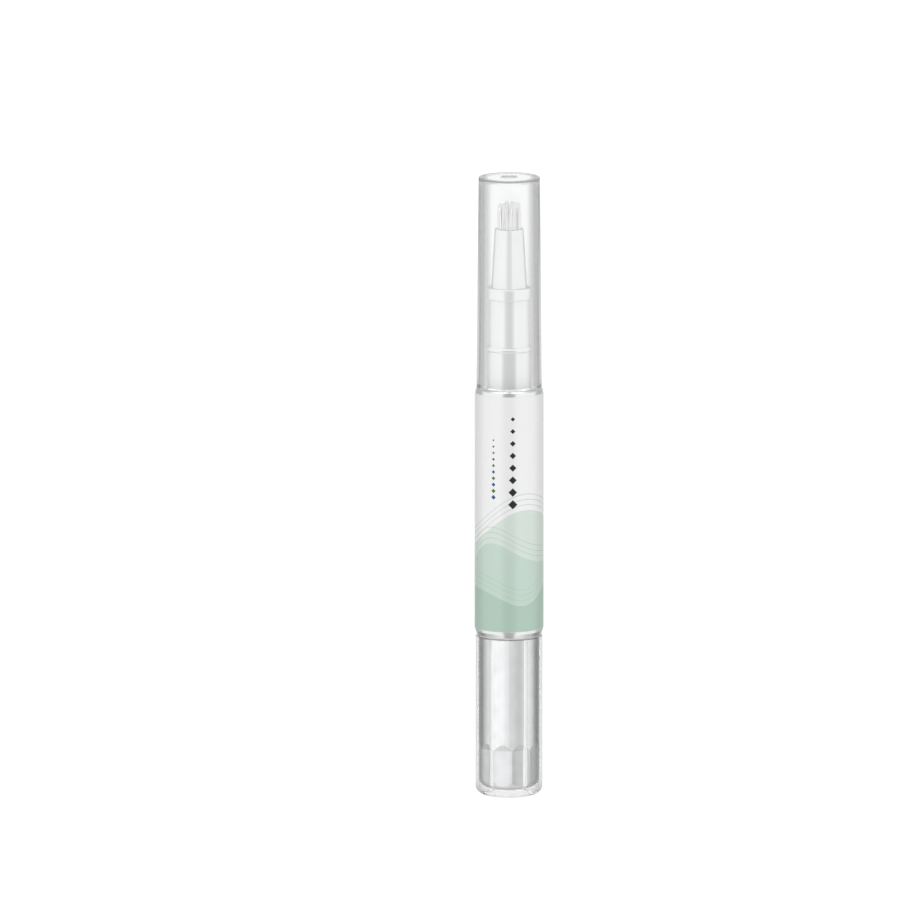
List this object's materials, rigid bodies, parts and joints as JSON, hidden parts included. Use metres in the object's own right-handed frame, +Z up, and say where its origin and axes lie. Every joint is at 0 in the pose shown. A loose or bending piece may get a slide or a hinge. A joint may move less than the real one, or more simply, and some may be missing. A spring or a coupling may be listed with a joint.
{
  "type": "nail oil pen",
  "caption": "Slim twist-up brush pen for nail oil: clear pull-off cap over a bristle brush, labelled metal barrel with a piston reservoir, and a clear knob over a silver core.",
  "frame": {"origin": "centre of the knob's flat base, where the pen stands", "axes": "+Z up the pen's axis towards the cap, -Y towards the pictured front, label seam at +Y"},
  "size_m": [0.014, 0.014, 0.1265],
  "materials": {
    "clear_plastic": "polished, water clear",
    "nylon_bristle": "fine white filaments",
    "natural_plastic": "milky, as moulded",
    "frosted_plastic": "frosted, translucent",
    "aluminium_shell": "bright drawn",
    "label_film": "satin printed film",
    "white_acetal": "as moulded",
    "silver_core": "vacuum metallised silver"
  },
  "bodies": {
    "barrel": {"barrel_shell": "aluminium_shell", "reservoir_liner": "frosted_plastic", "label": "label_film", "brush_holder": "frosted_plastic", "brush_ferrule": "clear_plastic", "feed_tube": "natural_plastic", "bristle_tuft": "nylon_bristle", "thread_nut": "white_acetal"},
    "cap": {"cap": "clear_plastic"},
    "knob": {"knob_cover": "clear_plastic", "knob_core": "silver_core", "drive_bush": "white_acetal", "ratchet_ring": "white_acetal"},
    "screw": {"lead_screw": "white_acetal"},
    "piston": {"piston": "natural_plastic"}
  },
  "joints": [
    {"name": "cap_pull", "type": "slide", "parent": "barrel", "child": "cap", "axis": [0, 0, 1], "range_m": [0, 0.045]},
    {"name": "knob_twist", "type": "hinge", "parent": "barrel", "child": "knob", "pos_m": [0, 0, 0], "axis": [0, 0, 1], "range_deg": [0, 3600], "deforming": ["ratchet_ring"]},
    {"name": "screw_feed", "type": "slide", "parent": "knob", "child": "screw", "axis": [0, 0, 1], "range_m": [0, 0.0301]},
    {"name": "piston_feed", "type": "slide", "parent": "barrel", "child": "piston", "axis": [0, 0, 1], "range_m": [0, 0.0301]}
  ],
  "couplings": [
    {"joint": "screw_feed", "follows": "knob_twist", "m_per_rad": 0.00047746},
    {"joint": "piston_feed", "follows": "knob_twist", "m_per_rad": 0.00047746}
  ]
}
